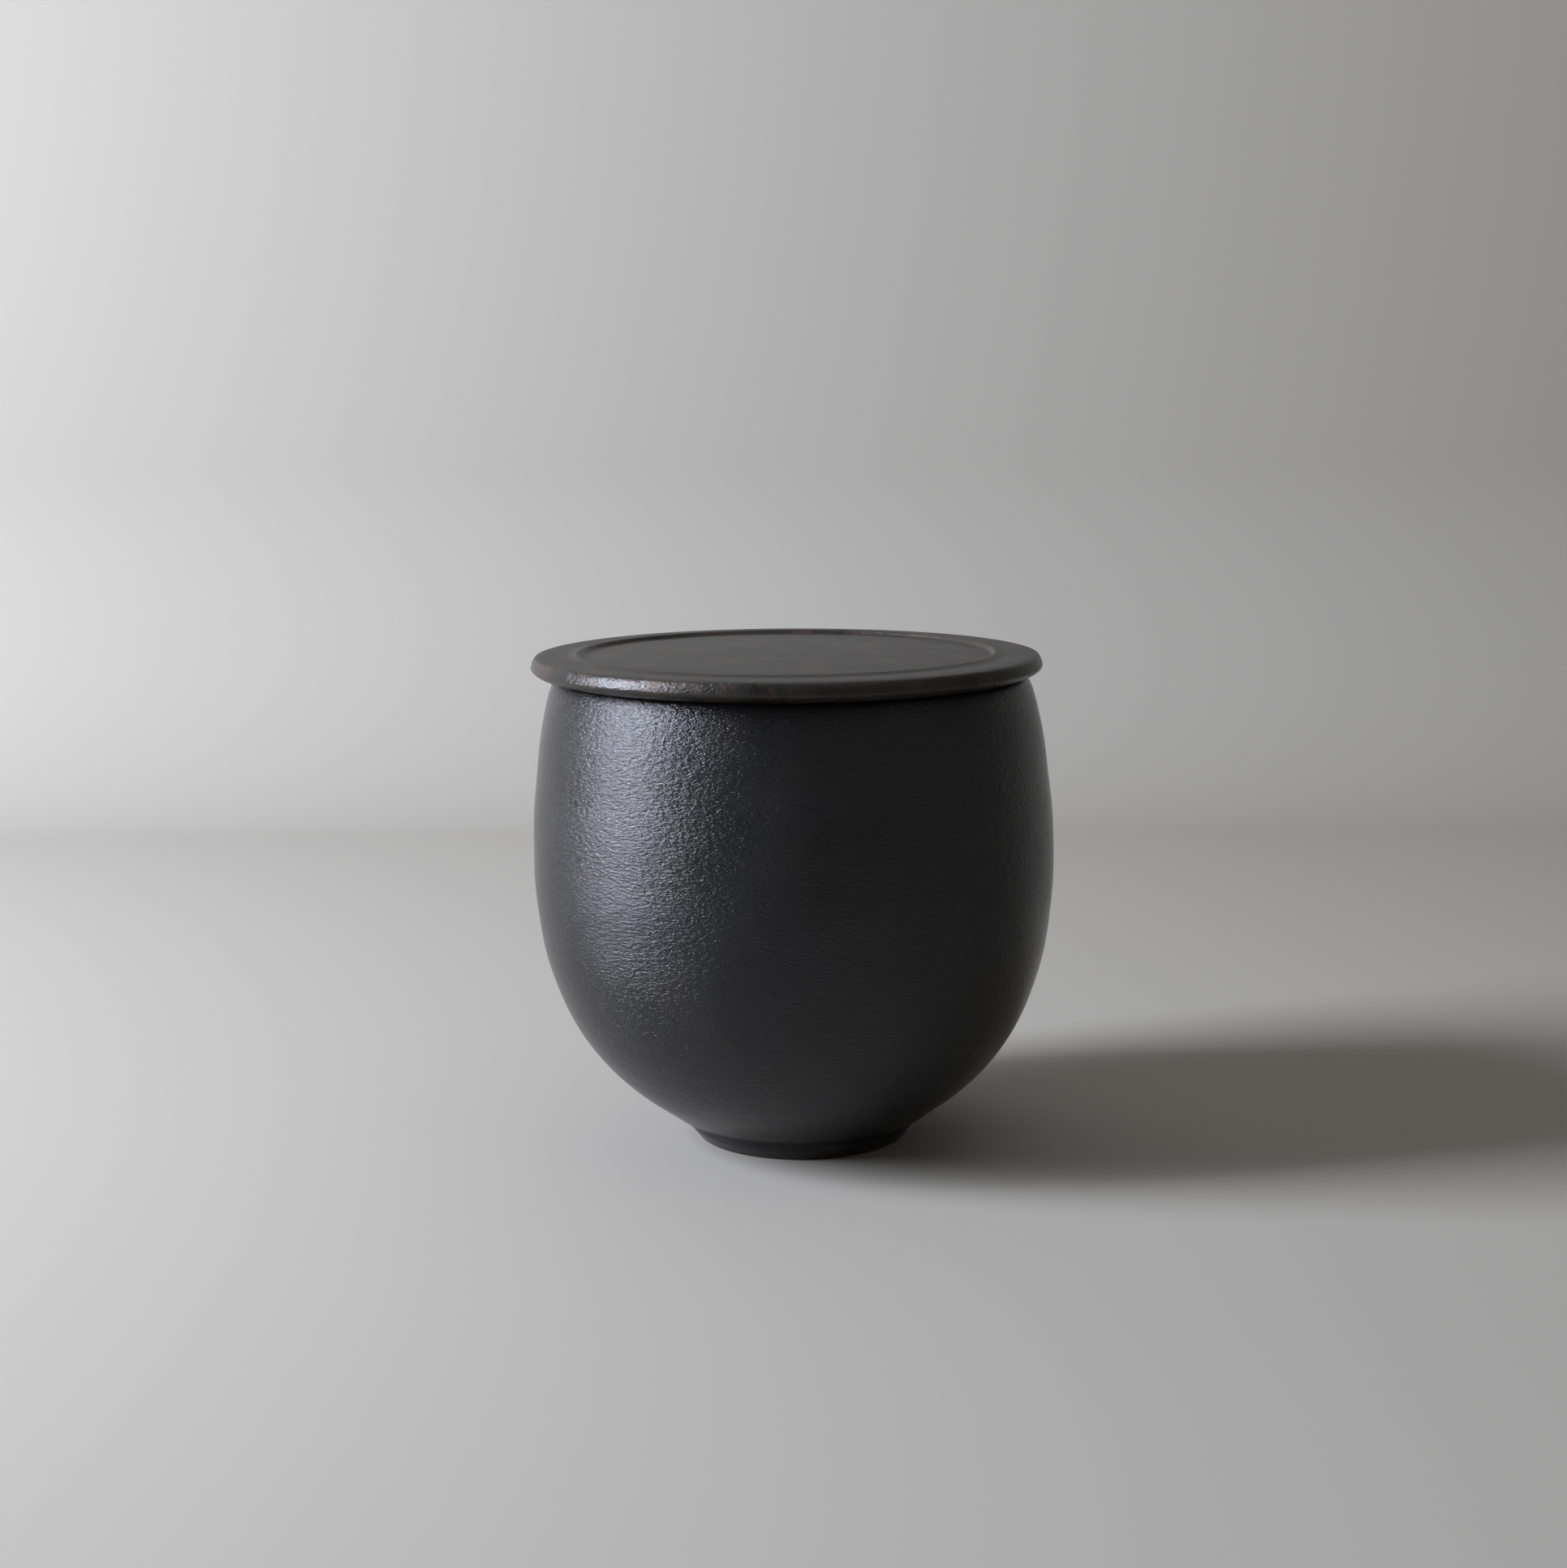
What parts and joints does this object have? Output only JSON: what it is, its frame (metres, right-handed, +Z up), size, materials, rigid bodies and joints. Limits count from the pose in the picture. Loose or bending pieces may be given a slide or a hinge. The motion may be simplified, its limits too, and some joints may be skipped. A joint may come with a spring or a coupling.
{
  "type": "lidded jar",
  "caption": "Round stoneware jar on a small turned foot, with a flat lift-off lid whose raised outer ring overhangs the shoulder and whose flange sits in the mouth.",
  "frame": {"origin": "on the ground, under the axis of the belly, which is the middle of the whole jar's box", "axes": "+Z up along the jar's axis, out of the mouth; the picture looks along +Y, with +X to its right"},
  "size_m": [0.1046, 0.1046, 0.0989],
  "materials": {
    "jar_glaze": "satin black iron glaze with fine grain",
    "lid_glaze": "satin black iron glaze, thin and brown at the edge"
  },
  "bodies": {
    "jar": {"jar_body": "jar_glaze"},
    "lid": {"lid": "lid_glaze"}
  },
  "joints": [
    {"name": "lid_lift", "type": "slide", "parent": "jar", "child": "lid", "axis": [0, 0, 1], "range_m": [0, 0.12]}
  ]
}
